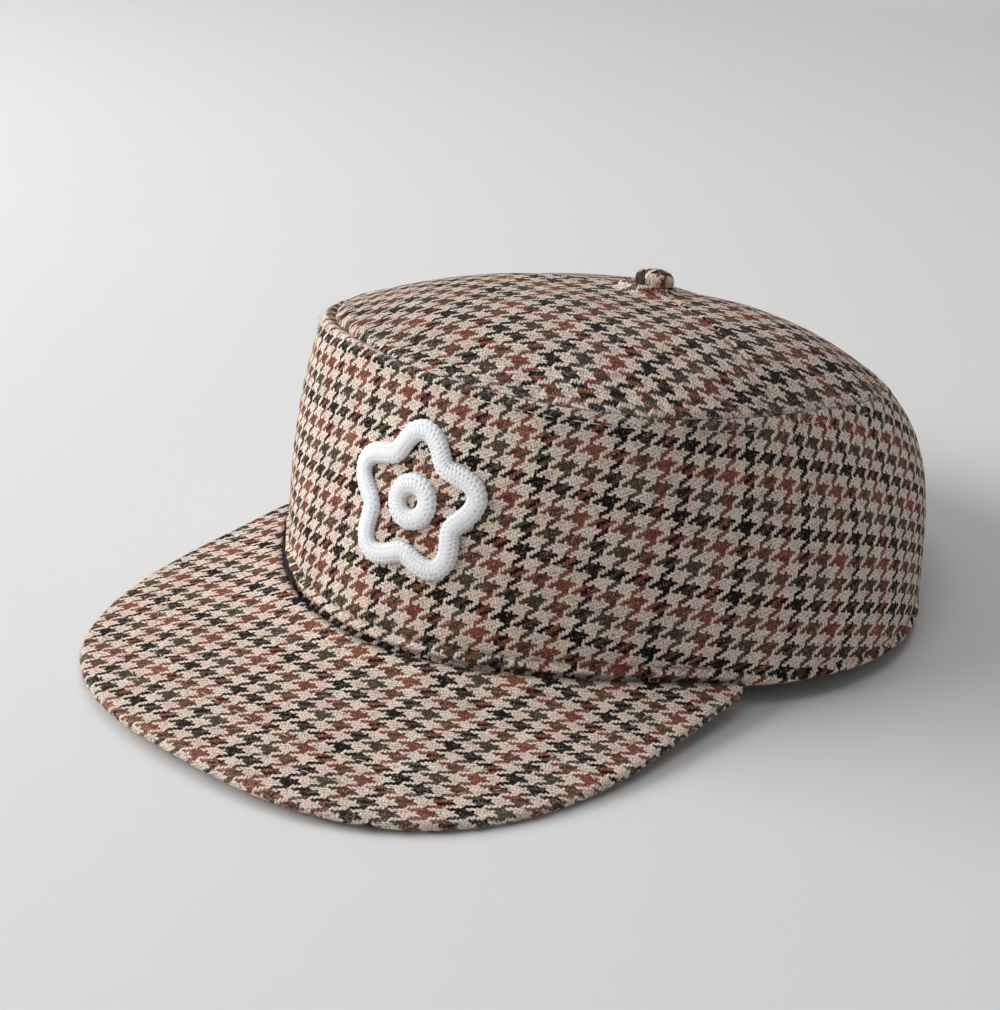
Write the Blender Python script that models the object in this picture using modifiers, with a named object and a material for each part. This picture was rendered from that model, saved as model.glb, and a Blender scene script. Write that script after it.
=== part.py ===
"""A cap with a flat brim: a checked cloth crown of one band and two top panels, a stiff
brim, a covered button and a raised embroidered flower.

Metres, +Z up. The wearer faces -Y and the wearer's left is +X. The cap rests on the
surface z = 0 on the front of its brim and the back of its hem, as it does by itself, and
the middle of its footprint is at the origin.
"""

import math

import bpy
import bmesh
from mathutils import Matrix, Vector

COLLECTION = "flat_brim_cap"

# Distance of the crown's axis behind the origin
AXIS_Y = 0.030889

# Cloth, board and clearance
CLOTH = 0.0018
BRIM_THICKNESS = 0.0027
CLEARANCE = 0.0003

# Hem outline, as distances from the crown's axis
HEM_FRONT = 0.1005
HEM_SIDE = 0.0977
HEM_BACK = 0.0913
HEM_SQUARE_FRONT = -0.0070
HEM_SQUARE_BACK = -0.0058

# Hem height above the surface, and the rolled strip along it
HEM_RISE = 0.0068
REST_HALF_ANGLE = math.radians(30.0)
HEM_STRIP = 0.0040
HEM_LEAN_FRONT = 0.27

# Top seam outline and height
SEAM_FRONT = 0.0798
SEAM_SIDE = 0.0704
SEAM_BACK = 0.0747
SEAM_SQUARE_FRONT = 0.0053
SEAM_SQUARE_BACK = 0.0074
SEAM_HEIGHT_FRONT = 0.0800
SEAM_HEIGHT_BACK = 0.0516

# Cloth left off the band under the seam, which turns less sharply towards the back
SEAM_TRIM_FRONT = 0.0021
SEAM_TRIM_SIDE = 0.0011
SEAM_TRIM_BACK = 0.0006

# How far the band's cloth swells out between hem and seam
SWELL_FRONT = 0.0
SWELL_SIDE = 0.0052
SWELL_BACK = 0.0158

# Top panels
DOME_RISE = 0.0132
DOME_FULLNESS = 3.45
DOME_CENTRE_Y = 0.0208
TOP_SEAM_ANGLE = math.radians(76.0)
CENTRE_HOLE_RADIUS = 0.0028

# Brim
BRIM_LENGTH = 0.0611
BRIM_HALF_WIDTH = 0.0839
BRIM_WIDEST_BACK = 0.0278
BRIM_ROUNDNESS = 2.51
BRIM_ROUND_SHARE = 0.84
BRIM_FALL = 0.075
BRIM_ARCH_RADIUS = 0.515
BRIM_CORNER_ANGLE = math.radians(61.5)
BRIM_CORNER_BLUNT = 0.0018
BRIM_EDGE_ROUND = 0.0011
BRIM_EDGE_LIFT = 0.00008
BRIM_EDGE_ANGLE = math.radians(50.0)

# Button
BUTTON_RADIUS = 0.0063
BUTTON_HEIGHT = 0.0058
BUTTON_RIM_HEIGHT = 0.0017
BUTTON_SEAT_RADIUS = 0.0055
BUTTON_FULLNESS = 0.8

# Embroidered flower
FLOWER_RADIUS = 0.0160
FLOWER_WAVE = 0.0026
FLOWER_PETALS = 5
FLOWER_EYE_RADIUS = 0.0046
STRAND_WIDTH = 0.0052
STRAND_RISE = 0.0018
FLOWER_RISE = 0.0432
FLOWER_SIDE = 0.0079

# Facets
ROUND_STEPS = 72
BAND_STEPS = 6
TOP_STEPS = 6
BRIM_STEPS = 36
BRIM_ROWS = 6
BUTTON_STEPS = 24
BUTTON_ROWS = 5
FLOWER_STEPS = 70
EYE_STEPS = 20
SLOPE_STEP = 0.01

# name, colour, roughness
FINISHES = {
    "band_cloth": ((0.36, 0.27, 0.21), 0.95),
    "top_cloth": ((0.40, 0.31, 0.24), 0.95),
    "top_back_cloth": ((0.33, 0.25, 0.20), 0.95),
    "brim_cloth": ((0.38, 0.28, 0.22), 0.95),
    "button_cloth": ((0.22, 0.15, 0.12), 0.95),
    "flower_thread": ((0.86, 0.87, 0.89), 0.70),
    "eye_thread": ((0.84, 0.85, 0.87), 0.70),
}


def remove_all_objects():
    """Empty the scene."""
    for item in list(bpy.data.objects):
        bpy.data.objects.remove(item, do_unlink=True)


def part_collection():
    """The collection that holds the cap's pieces."""
    collection = bpy.data.collections.new(COLLECTION)
    bpy.context.scene.collection.children.link(collection)
    return collection


def finish(slot):
    """A Principled material for one slot."""
    colour, roughness = FINISHES[slot]
    material = bpy.data.materials.new(slot)
    material.use_nodes = True
    shader = material.node_tree.nodes["Principled BSDF"]
    shader.inputs["Base Color"].default_value = (*colour, 1.0)
    shader.inputs["Roughness"].default_value = roughness
    shader.inputs["Metallic"].default_value = 0.0
    return material


def around(angle, front, side, back):
    """A value blended round the crown; angle 0 is the front and pi the back."""
    end = front if math.cos(angle) > 0.0 else back
    return side * math.sin(angle) ** 2 + end * math.cos(angle) ** 2


def outline(angle, front, side, back, square_front, square_back):
    """Radius of a crown outline, fuller at its quarters by the square values."""
    square = square_front if math.cos(angle) > 0.0 else square_back
    return around(angle, front, side, back) + square * math.sin(2.0 * angle) ** 2


def hem_radius(angle):
    """Radius of the hem's outer face."""
    return outline(angle, HEM_FRONT, HEM_SIDE, HEM_BACK, HEM_SQUARE_FRONT, HEM_SQUARE_BACK)


def hem_height(angle):
    """Height of the hem: it lies on the surface at the back and lifts towards the front."""
    rest = math.cos(REST_HALF_ANGLE)
    return HEM_RISE * max(0.0, (math.cos(angle) + rest) / (1.0 + rest))


def hem_point(angle):
    """Point of the hem's lower outer edge."""
    radius = hem_radius(angle)
    return Vector((radius * math.sin(angle), -radius * math.cos(angle), hem_height(angle)))


def hem_strip_point(angle):
    """Point of the rolled strip's upper edge: upright at the back, leaning at the front."""
    radius = hem_radius(angle) - HEM_STRIP * HEM_LEAN_FRONT * max(0.0, math.cos(angle)) ** 2
    return Vector((radius * math.sin(angle), -radius * math.cos(angle),
                   hem_height(angle) + HEM_STRIP))


def seam_point(angle):
    """Point of the seam that joins band and top."""
    radius = outline(angle, SEAM_FRONT, SEAM_SIDE, SEAM_BACK,
                     SEAM_SQUARE_FRONT, SEAM_SQUARE_BACK)
    middle = (SEAM_HEIGHT_FRONT + SEAM_HEIGHT_BACK) / 2.0
    half = (SEAM_HEIGHT_FRONT - SEAM_HEIGHT_BACK) / 2.0
    height = middle + half * math.cos(angle)
    return Vector((radius * math.sin(angle), -radius * math.cos(angle), height))


def band_point(angle, share):
    """Point of the band's outer face; share 0 is the strip's edge and 1 the top seam."""
    point = hem_strip_point(angle).lerp(seam_point(angle), share)
    swell = around(angle, SWELL_FRONT, SWELL_SIDE, SWELL_BACK) * 4.0 * share * (1.0 - share)
    return point + Vector((math.sin(angle), -math.cos(angle), 0.0)) * swell


def band_top_share(angle):
    """Share at which the band's cloth ends, just clear of the top panel's edge."""
    fall = (band_point(angle, 1.0) - band_point(angle, 1.0 - SLOPE_STEP)).length
    trim = around(angle, SEAM_TRIM_FRONT, SEAM_TRIM_SIDE, SEAM_TRIM_BACK)
    return 1.0 - trim * SLOPE_STEP / fall


def dome_centre():
    """Point under the button where the seam plane crosses the dome's axis."""
    middle = (SEAM_HEIGHT_FRONT + SEAM_HEIGHT_BACK) / 2.0
    return Vector((0.0, DOME_CENTRE_Y, middle))


def dome_point(angle, share):
    """Point of the top's outer face; share 0 is the button and 1 the seam."""
    point = dome_centre().lerp(seam_point(angle), share)
    point.z += DOME_RISE * (1.0 - share ** DOME_FULLNESS)
    return point


def spread(low, high, steps):
    """Evenly spaced values, both ends included."""
    return [low + (high - low) * step / steps for step in range(steps + 1)]


def surface(name, rows, closed):
    """An open mesh through rows of points; closed joins each row's end to its start."""
    mesh = bpy.data.meshes.new(name)
    shape = bmesh.new()
    grid = [[shape.verts.new(point) for point in row] for row in rows]
    count = len(rows[0])
    for lower, upper in zip(grid, grid[1:]):
        for step in range(count if closed else count - 1):
            after = (step + 1) % count
            shape.faces.new((lower[step], lower[after], upper[after], upper[step]))
    shape.normal_update()
    shape.to_mesh(mesh)
    shape.free()
    mesh.shade_smooth()
    return mesh


def place(name, mesh, slot, collection):
    """Put a mesh in the scene as a named piece with its own finish."""
    piece = bpy.data.objects.new(name, mesh)
    mesh.materials.append(finish(slot))
    collection.objects.link(piece)
    piece.location = (0.0, AXIS_Y, 0.0)
    return piece


def thicken(piece, thickness, side):
    """Give an open cloth surface its thickness; side -1 is behind its face, 1 in front."""
    solid = piece.modifiers.new("cloth", "SOLIDIFY")
    solid.thickness = thickness
    solid.offset = side
    solid.use_even_offset = True
    return piece


def round_edges(piece, width, segments):
    """Round the sharp edges of a piece."""
    bevel = piece.modifiers.new("rounding", "BEVEL")
    bevel.width = width
    bevel.segments = segments
    bevel.limit_method = "ANGLE"
    bevel.angle_limit = BRIM_EDGE_ANGLE


def build_band(collection):
    """The crown's band: one strip of cloth from the hem to the top seam."""
    angles = spread(0.0, 2.0 * math.pi, ROUND_STEPS)[:-1]
    rows = [[hem_point(angle) for angle in angles]]
    for share in spread(0.0, 1.0, BAND_STEPS):
        rows.append([band_point(angle, share * band_top_share(angle)) for angle in angles])
    piece = place("crown_band", surface("crown_band", rows, True), "band_cloth", collection)
    thicken(piece, CLOTH, -1.0)


def build_top_panel(name, slot, start, end, collection):
    """A top panel between two seams that run from the button to the band."""
    steps = max(4, round(ROUND_STEPS * (end - start) / (2.0 * math.pi)))
    inner = CENTRE_HOLE_RADIUS / SEAM_SIDE
    rows = []
    for share in reversed(spread(inner, 1.0, TOP_STEPS)):
        trim = CLEARANCE / (2.0 * share * SEAM_SIDE)
        rows.append([dome_point(angle, share)
                     for angle in spread(start + trim, end - trim, steps)])
    piece = place(name, surface(name, rows, False), slot, collection)
    thicken(piece, CLOTH, -1.0)


def brim_front_y():
    """The brim's foremost line."""
    return -(HEM_FRONT + BRIM_LENGTH)


def brim_edge_plan(share):
    """Plan point of the brim's outer edge; share -1 and 1 are its rear corners."""
    widest_y = -HEM_FRONT + BRIM_WIDEST_BACK
    side = math.copysign(1.0, share)
    if abs(share) <= BRIM_ROUND_SHARE:
        turn = share / BRIM_ROUND_SHARE * math.pi / 2.0
        power = 2.0 / BRIM_ROUNDNESS
        across = side * abs(math.sin(turn)) ** power
        ahead = abs(math.cos(turn)) ** power
        return Vector((BRIM_HALF_WIDTH * across,
                       widest_y + (brim_front_y() - widest_y) * ahead, 0.0))
    corner = brim_root_plan(side * BRIM_CORNER_ANGLE)
    corner += corner.normalized() * BRIM_CORNER_BLUNT
    widest = Vector((side * BRIM_HALF_WIDTH, widest_y, 0.0))
    return widest.lerp(corner, (abs(share) - BRIM_ROUND_SHARE) / (1.0 - BRIM_ROUND_SHARE))


def brim_drop(point):
    """How far the brim's upper face lies below its root at a plan point."""
    return BRIM_FALL * -(point.y + HEM_FRONT) + point.x ** 2 / (2.0 * BRIM_ARCH_RADIUS)


def brim_root_plan(angle):
    """Plan point of the brim's inner edge, clear of the band down to its lower face."""
    radius = hem_radius(angle)
    slope = BRIM_FALL * math.cos(angle) + radius * math.sin(angle) ** 2 / BRIM_ARCH_RADIUS
    radius += CLEARANCE + BRIM_THICKNESS * slope
    return Vector((radius * math.sin(angle), -radius * math.cos(angle), 0.0))


def brim_root_height():
    """Height of the brim's upper face at the crown's front, when the brim rests."""
    edge = [brim_edge_plan(share) for share in spread(-1.0, 1.0, 4 * BRIM_STEPS)]
    return BRIM_THICKNESS - BRIM_EDGE_LIFT + max(brim_drop(point) for point in edge)


def build_brim(collection):
    """The brim: a board under cloth, arched from side to side."""
    root = brim_root_height()
    shares = spread(-1.0, 1.0, BRIM_STEPS)
    rows = []
    for out in spread(0.0, 1.0, BRIM_ROWS):
        row = []
        for share in shares:
            inner = brim_root_plan(share * BRIM_CORNER_ANGLE)
            point = inner.lerp(brim_edge_plan(share), out)
            point.z = root - brim_drop(point)
            row.append(point)
        rows.append(row)
    rows.reverse()
    piece = place("brim", surface("brim", rows, False), "brim_cloth", collection)
    thicken(piece, BRIM_THICKNESS, -1.0)
    round_edges(piece, BRIM_EDGE_ROUND, 2)


def build_button(collection):
    """The covered button on the middle of the top."""
    mesh = bpy.data.meshes.new("top_button")
    shape = bmesh.new()
    dome_height = BUTTON_HEIGHT - BUTTON_RIM_HEIGHT
    profile = [Vector((0.0, 0.0, BUTTON_HEIGHT))]
    for turn in spread(0.0, math.pi / 2.0, BUTTON_ROWS)[1:]:
        profile.append(Vector((BUTTON_RADIUS * math.sin(turn) ** BUTTON_FULLNESS, 0.0,
                               BUTTON_RIM_HEIGHT + dome_height * math.cos(turn))))
    profile.append(Vector((BUTTON_SEAT_RADIUS, 0.0, 0.0)))
    profile.append(Vector((0.0, 0.0, 0.0)))
    verts = [shape.verts.new(point) for point in profile]
    for first, second in zip(verts, verts[1:]):
        shape.edges.new((first, second))
    shape.to_mesh(mesh)
    shape.free()
    piece = place("top_button", mesh, "button_cloth", collection)
    turn = piece.modifiers.new("turned", "SCREW")
    turn.steps = BUTTON_STEPS
    turn.render_steps = BUTTON_STEPS
    turn.use_merge_vertices = True
    turn.merge_threshold = 0.00005
    front = dome_point(0.0, BUTTON_RADIUS / SEAM_FRONT)
    back = dome_point(math.pi, BUTTON_RADIUS / SEAM_BACK)
    lean = math.atan2(front.z - back.z, back.y - front.y)
    tilt = Matrix.Rotation(-lean, 3, "X")
    seat = dome_point(0.0, 0.0) + tilt @ Vector((0.0, 0.0, CLEARANCE))
    piece.location += seat
    piece.rotation_euler = (-lean, 0.0, 0.0)


def flower_surface_point(across, up):
    """Point just off the band's face; across and up are measured along the cloth."""
    slant = (seam_point(0.0) - hem_strip_point(0.0)).length
    share = (FLOWER_RISE - HEM_STRIP + up) / slant
    angle = (FLOWER_SIDE + across) / band_point(0.0, share).xy.length
    point = band_point(angle, share)
    along = band_point(angle + SLOPE_STEP, share) - band_point(angle - SLOPE_STEP, share)
    rise = band_point(angle, share + SLOPE_STEP) - band_point(angle, share - SLOPE_STEP)
    return point + along.cross(rise).normalized() * CLEARANCE


def build_strand(name, slot, radius, wave, steps, collection):
    """A closed raised strand of thread that follows a waved circle on the band."""
    turns = spread(0.0, 2.0 * math.pi, steps)[:-1]
    centre = []
    for turn in turns:
        reach = radius + wave * math.cos(FLOWER_PETALS * turn)
        centre.append(Vector((reach * math.sin(turn), reach * math.cos(turn))))
    rows = []
    for offset in spread(-STRAND_WIDTH / 2.0, STRAND_WIDTH / 2.0, 2):
        row = []
        for step, point in enumerate(centre):
            ahead = centre[(step + 1) % steps] - centre[step - 1]
            outward = Vector((-ahead.y, ahead.x)).normalized()
            place_at = point + outward * offset
            row.append(flower_surface_point(place_at.x, place_at.y))
        rows.append(row)
    piece = place(name, surface(name, rows, True), slot, collection)
    thicken(piece, STRAND_RISE, 1.0)


def main():
    """Build every piece of the cap."""
    remove_all_objects()
    collection = part_collection()
    build_band(collection)
    build_top_panel("crown_top_front", "top_cloth", -TOP_SEAM_ANGLE, TOP_SEAM_ANGLE, collection)
    build_top_panel("crown_top_back", "top_back_cloth", TOP_SEAM_ANGLE,
                    2.0 * math.pi - TOP_SEAM_ANGLE, collection)
    build_brim(collection)
    build_button(collection)
    build_strand("front_flower", "flower_thread", FLOWER_RADIUS, FLOWER_WAVE,
                 FLOWER_STEPS, collection)
    build_strand("front_flower_eye", "eye_thread", FLOWER_EYE_RADIUS, 0.0,
                 EYE_STEPS, collection)


main()
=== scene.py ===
"""The flat brim cap as it looks: checked cloth on the crown, brim and button, sewn seams
and a raised embroidered flower.

Metres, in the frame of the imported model: the wearer faces -Y and the wearer's left is +X.
"""

import math

import bpy
import numpy as np
from mathutils import Matrix, Vector


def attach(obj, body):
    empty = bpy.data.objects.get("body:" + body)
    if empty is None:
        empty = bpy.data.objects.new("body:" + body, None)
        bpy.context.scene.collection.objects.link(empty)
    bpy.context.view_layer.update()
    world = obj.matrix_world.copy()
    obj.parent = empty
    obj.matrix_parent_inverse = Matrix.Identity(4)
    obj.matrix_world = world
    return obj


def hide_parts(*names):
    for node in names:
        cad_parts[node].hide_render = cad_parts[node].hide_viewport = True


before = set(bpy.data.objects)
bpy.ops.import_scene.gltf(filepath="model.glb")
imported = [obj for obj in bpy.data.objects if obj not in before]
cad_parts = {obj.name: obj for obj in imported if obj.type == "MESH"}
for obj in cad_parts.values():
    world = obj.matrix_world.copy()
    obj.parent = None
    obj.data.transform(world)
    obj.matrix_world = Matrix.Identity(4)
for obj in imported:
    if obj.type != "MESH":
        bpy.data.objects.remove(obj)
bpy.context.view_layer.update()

# Sizes of the crown, as the part's source has them
AXIS_Y = 0.030889
HEM = dict(front=0.1005, side=0.0977, back=0.0913, square_front=-0.0070, square_back=-0.0058)
HEM_RISE = 0.0068
REST_HALF_ANGLE = math.radians(30.0)
HEM_STRIP = 0.0040
HEM_LEAN_FRONT = 0.27
SEAM = dict(front=0.0798, side=0.0704, back=0.0747, square_front=0.0053, square_back=0.0074)
SEAM_HEIGHT_FRONT = 0.0800
SEAM_HEIGHT_BACK = 0.0516
SWELL = dict(front=0.0, side=0.0052, back=0.0158)
DOME_RISE = 0.0132
DOME_FULLNESS = 3.45
DOME_CENTRE_Y = 0.0208
TOP_SEAM_ANGLE = math.radians(76.0)
CENTRE_HOLE = 0.040

# Sizes of the brim
BRIM_LENGTH = 0.0611
BRIM_HALF_WIDTH = 0.0839
BRIM_WIDEST_BACK = 0.0278
BRIM_ROUNDNESS = 2.51
BRIM_ROUND_SHARE = 0.84
BRIM_FALL = 0.075
BRIM_ARCH_RADIUS = 0.515
BRIM_CORNER_ANGLE = math.radians(61.5)
BRIM_CORNER_BLUNT = 0.0018
BRIM_THICKNESS = 0.0027
BRIM_ROOT_Z = 0.00975
BRIM_ROWS = (0.0100, 0.0190, 0.0280)
BRIM_THIN_REACH = 0.0035
CLEARANCE = 0.0003

# Sizes of the button and the flower
BUTTON_RADIUS = 0.0057
BUTTON_HEIGHT = 0.0046
BUTTON_SEAT = 0.0008
PUCKER_RADIUS = 0.0070
FLOWER_RADIUS = 0.0160
FLOWER_WAVE = 0.0026
FLOWER_PETALS = 5
EYE_RADIUS = 0.0046
STRAND_WIDTH = 0.0054
STRAND_RISE = 0.0017
LOOP = 0.00110
FLOWER_RISE = 0.0432
FLOWER_SIDE = 0.0079

# Cloth and needlework; the sizes of the weave are threads' widths in millimetres
CLOTH = 0.0014
THREAD_ACROSS = 0.771
THREAD_UP = 0.745
SEAM_GAP = 0.00010
SEAM_MARGIN = 0.00006
SEAM_TURN = 0.0045
SEAM_BLEND = 0.0030
SEAM_ROLL = 0.0007
GROOVE_DEPTH = 0.0009
GROOVE_WIDTH = 0.0008
GROOVE_RISE = 0.0033
MEAN_RADIUS = 0.095
HEM_ROLL = 0.0007
BRIM_TURN_UP = 0.0020
BRIM_TURN_REACH = 0.0080
ROOT_SHADE = 0.0013
TUCK = 0.0010
TUCK_WIDTH = 0.0005
COVER_PAST = 0.02
COVER_FADE = 0.035
TOP_REACH = 0.075
LIP_FOLD = 0.0026
LIP_ANGLE = -0.95
LIP_HALF_ANGLE = 0.78
LIP_FADE = 0.09
STITCH = 0.0030
STITCH_GAP = 0.0009
FINE_STITCH = 0.0024
FUZZ_COUNT = 1300
FUZZ_LENGTH = (0.0005, 0.0016)
FUZZ_THICK = 0.000035

# The studio's round sweep
SWEEP_FLAT = 1.1
SWEEP_BEND = 0.5
SWEEP_HEIGHT = 0.6
SWEEP_TINTS = ((0.715, 0.715, 0.715), (0.735, 0.735, 0.735))
WORLD_STRENGTH = 0.135
WHITE = (1.0, 1.0, 1.0)

# Where each cloth's threads run, in threads, as cubic fits over 50 mm:
# 1, q, q2, q3, p, pq, pq2, p2, p2q, p3; then the fitted span of p and q in mm
BAND_WEAVE = dict(
    across=(-1.28, -3.64, -3.86, 2.34, 64.91, 5.07, -1.16, -0.58, -0.15, 0.11),
    up=(-95.79, 62.11, 3.39, 0.23, 1.38, 0.06, -0.09, 2.32, -0.31, -0.66),
    span_p=(-42.0, 131.0), span_q=(0.0, 74.0), pitch=(THREAD_ACROSS, THREAD_UP))
BRIM_WEAVE = dict(
    across=(54.75, 4.9, 5.93, 1.31, 64.88, 3.51, 1.26, 3.3, 1.58, 0.72),
    up=(202.89, 65.25, -1.02, -0.23, 10.28, 1.98, -0.42, -2.16, -0.33, -1.45),
    span_p=(-74.0, 76.0), span_q=(-158.0, -66.0), pitch=(THREAD_ACROSS, THREAD_UP))
TOP_WEAVE = dict(
    across=(6.75, 8.07, -1.7, 1.4, 53.63, -6.83, 1.41, -4.18, 3.9, 3.42),
    up=(51.25, 51.43, 1.31, -0.28, 12.11, 6.54, -0.79, 10.92, -2.93, -2.74),
    span_p=(-56.0, 60.0), span_q=(-72.0, 26.0), pitch=(THREAD_ACROSS, THREAD_UP))
BACK_WEAVE = dict(
    across=(-43.71, 3.12, 0, 0, 57.01, 0, 0, 0, 0, 0),
    up=(-13.37, 38.98, 0, 0, 14.60, 0, 0, 0, 0, 0),
    span_p=(20.0, 68.0), span_q=(-20.0, 34.0), pitch=(THREAD_ACROSS, THREAD_UP))


def around(angle, front, side, back):
    """A value blended round the crown; angle 0 is the front and pi the back."""
    end = np.where(np.cos(angle) > 0.0, front, back)
    return side * np.sin(angle) ** 2 + end * np.cos(angle) ** 2


def outline(angle, front, side, back, square_front, square_back):
    """Radius of a crown outline, fuller at its quarters by the square values."""
    square = np.where(np.cos(angle) > 0.0, square_front, square_back)
    return around(angle, front, side, back) + square * np.sin(2.0 * angle) ** 2


def polar(radius, angle, height):
    """Points at a radius and angle round the crown's axis."""
    return np.stack((radius * np.sin(angle), AXIS_Y - radius * np.cos(angle),
                     height + 0.0 * angle), -1)


def unit(vectors):
    """The same directions with length one."""
    return vectors / np.linalg.norm(vectors, axis=-1, keepdims=True)


def hem_height(angle):
    """Height of the hem: it lies on the surface at the back and lifts to the front."""
    rest = math.cos(REST_HALF_ANGLE)
    return HEM_RISE * np.maximum(0.0, (np.cos(angle) + rest) / (1.0 + rest))


def hem_point(angle):
    """Point of the hem's lower outer edge."""
    return polar(outline(angle, **HEM), angle, hem_height(angle))


def strip_point(angle):
    """Point where the band leaves its upright foot."""
    lean = HEM_STRIP * HEM_LEAN_FRONT * np.maximum(0.0, np.cos(angle)) ** 2
    return polar(outline(angle, **HEM) - lean, angle, hem_height(angle) + HEM_STRIP)


def seam_point(angle):
    """Point of the seam that joins band and top."""
    middle = (SEAM_HEIGHT_FRONT + SEAM_HEIGHT_BACK) / 2.0
    half = (SEAM_HEIGHT_FRONT - SEAM_HEIGHT_BACK) / 2.0
    return polar(outline(angle, **SEAM), angle, middle + half * np.cos(angle))


def slant(angle):
    """Length of the band's straight side from its foot to the seam."""
    return np.linalg.norm(seam_point(angle) - strip_point(angle), axis=-1)


def band_point(angle, share):
    """Point of the band's outer face; share 0 is its foot's edge and 1 the top seam."""
    blend = share[..., None]
    low = np.maximum(-share * slant(angle) / HEM_STRIP, 0.0)[..., None]
    wall = strip_point(angle) * (1.0 - blend) + seam_point(angle) * blend
    foot = strip_point(angle) * (1.0 - low) + hem_point(angle) * low
    swell = around(angle, **SWELL) * 4.0 * share * (1.0 - share)
    outward = polar(swell, angle, 0.0) - (0.0, AXIS_Y, 0.0)
    return np.where(blend > 0.0, wall + outward, foot)


def dome_point(angle, share):
    """Point of the top's outer face; share 0 is the button and 1 the seam."""
    centre = np.array((0.0, DOME_CENTRE_Y + AXIS_Y, (SEAM_HEIGHT_FRONT + SEAM_HEIGHT_BACK) / 2.0))
    blend = share[..., None]
    rise = DOME_RISE * (1.0 - share ** DOME_FULLNESS)
    point = centre * (1.0 - blend) + seam_point(angle) * blend
    point[..., 2] += rise
    return point


def brim_drop(point):
    """How far the brim's upper face lies below its root at a plan point."""
    ahead = -(point[..., 1] - AXIS_Y + HEM["front"])
    return BRIM_FALL * ahead + point[..., 0] ** 2 / (2.0 * BRIM_ARCH_RADIUS)


def brim_root(share):
    """Plan point of the brim's inner edge."""
    angle = share * BRIM_CORNER_ANGLE
    radius = outline(angle, **HEM)
    slope = BRIM_FALL * np.cos(angle) + radius * np.sin(angle) ** 2 / BRIM_ARCH_RADIUS
    return polar(radius + CLEARANCE + BRIM_THICKNESS * slope, angle, 0.0)


def brim_edge(share):
    """Plan point of the brim's outer edge; share -1 and 1 are its rear corners."""
    widest_y = AXIS_Y - HEM["front"] + BRIM_WIDEST_BACK
    front_y = AXIS_Y - HEM["front"] - BRIM_LENGTH
    side = np.sign(share)
    turn = np.minimum(np.abs(share) / BRIM_ROUND_SHARE, 1.0) * math.pi / 2.0
    power = 2.0 / BRIM_ROUNDNESS
    across = BRIM_HALF_WIDTH * side * np.sin(turn) ** power
    ahead = np.maximum(np.cos(turn), 0.0) ** power
    edge = np.stack((across, widest_y + (front_y - widest_y) * ahead, 0.0 * share), -1)
    axis = np.array((0.0, AXIS_Y, 0.0))
    corner = brim_root(side)
    corner = corner + unit(corner - axis) * BRIM_CORNER_BLUNT
    past = np.maximum((np.abs(share) - BRIM_ROUND_SHARE) / (1.0 - BRIM_ROUND_SHARE), 0.0)
    return edge + (corner - edge) * past[..., None] * (past[..., None] > 0.0)


def cloud(p, q, size, seed):
    """Soft random hills between -1 and 1, the same on each run."""
    p, q = p / size, q / size
    i, j = np.floor(p), np.floor(q)
    f, g = p - i, q - j
    f, g = f * f * (3.0 - 2.0 * f), g * g * (3.0 - 2.0 * g)

    def corner(a, b):
        value = np.sin(a * 127.1 + b * 311.7 + seed * 74.7) * 43758.5453
        return (value - np.floor(value)) * 2.0 - 1.0

    low = corner(i, j) * (1.0 - f) + corner(i + 1, j) * f
    high = corner(i, j + 1) * (1.0 - f) + corner(i + 1, j + 1) * f
    return low * (1.0 - g) + high * g


def bell(distance, width):
    """A smooth bump of height one round distance zero."""
    return np.exp(-(distance / width) ** 2)


def normals(grid):
    """Outward directions of a grid of points, from its columns and rows."""
    return unit(np.cross(np.gradient(grid, axis=1), np.gradient(grid, axis=0)))


def weave(p, q, across, up, span_p, span_q, pitch):
    """Thread counts across and up the cloth at p and q, which are in millimetres."""
    inner_p, inner_q = np.clip(p, *span_p), np.clip(q, *span_q)
    a, b = inner_p / 50.0, inner_q / 50.0
    terms = (a * 0 + 1, b, b ** 2, b ** 3, a, a * b, a * b ** 2, a ** 2, a ** 2 * b, a ** 3)
    first = sum(size * term for size, term in zip(across, terms)) + (p - inner_p) / pitch[0]
    second = sum(size * term for size, term in zip(up, terms)) + (q - inner_q) / pitch[1]
    return np.stack((first, second), -1)


def loft(name, rows, threads, worn, finish, ring=False):
    """A closed solid through rows of points, which close on themselves from last to first."""
    count, columns = rows.shape[:2]
    wide = columns if ring else columns - 1
    low, step = np.meshgrid(np.arange(count), np.arange(wide), indexing="ij")
    high, after = (low + 1) % count, (step + 1) % columns
    faces = np.stack((low * columns + step, low * columns + after,
                      high * columns + after, high * columns + step), -1).reshape(-1, 4)
    places = np.stack((threads[low, step], threads[low, step + 1],
                       threads[high, step + 1], threads[high, step]), -2).reshape(-1, 2)
    polygons = faces.tolist()
    if not ring:
        first = np.arange(count) * columns
        last = first + columns - 1
        polygons += [first.tolist(), last[::-1].tolist()]
        places = np.concatenate((places, threads[:, 0], threads[::-1, -1]))
    mesh = bpy.data.meshes.new(name)
    mesh.from_pydata(rows.reshape(-1, 3).tolist(), [], polygons)
    layer = mesh.uv_layers.new(name="threads")
    layer.data.foreach_set("uv", places.astype(np.float32).ravel())
    # One value per point for the finishes: on the cloth, paler rubbed edges where it is positive
    # and painted shade where it is negative; on the flower, painted shade in the needle holes.
    wear_and_shade_layer = mesh.attributes.new("worn", "FLOAT", "POINT")
    wear_and_shade_layer.data.foreach_set("value", worn.astype(np.float32).ravel())
    mesh.shade_smooth()
    mesh.materials.append(finish)
    return add_piece(name, mesh)


def add_piece(name, mesh):
    """Put a mesh in the scene as a piece that goes with the cap."""
    piece = bpy.data.objects.new(name, mesh)
    bpy.context.scene.collection.objects.link(piece)
    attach(piece, "root")
    return piece


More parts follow.
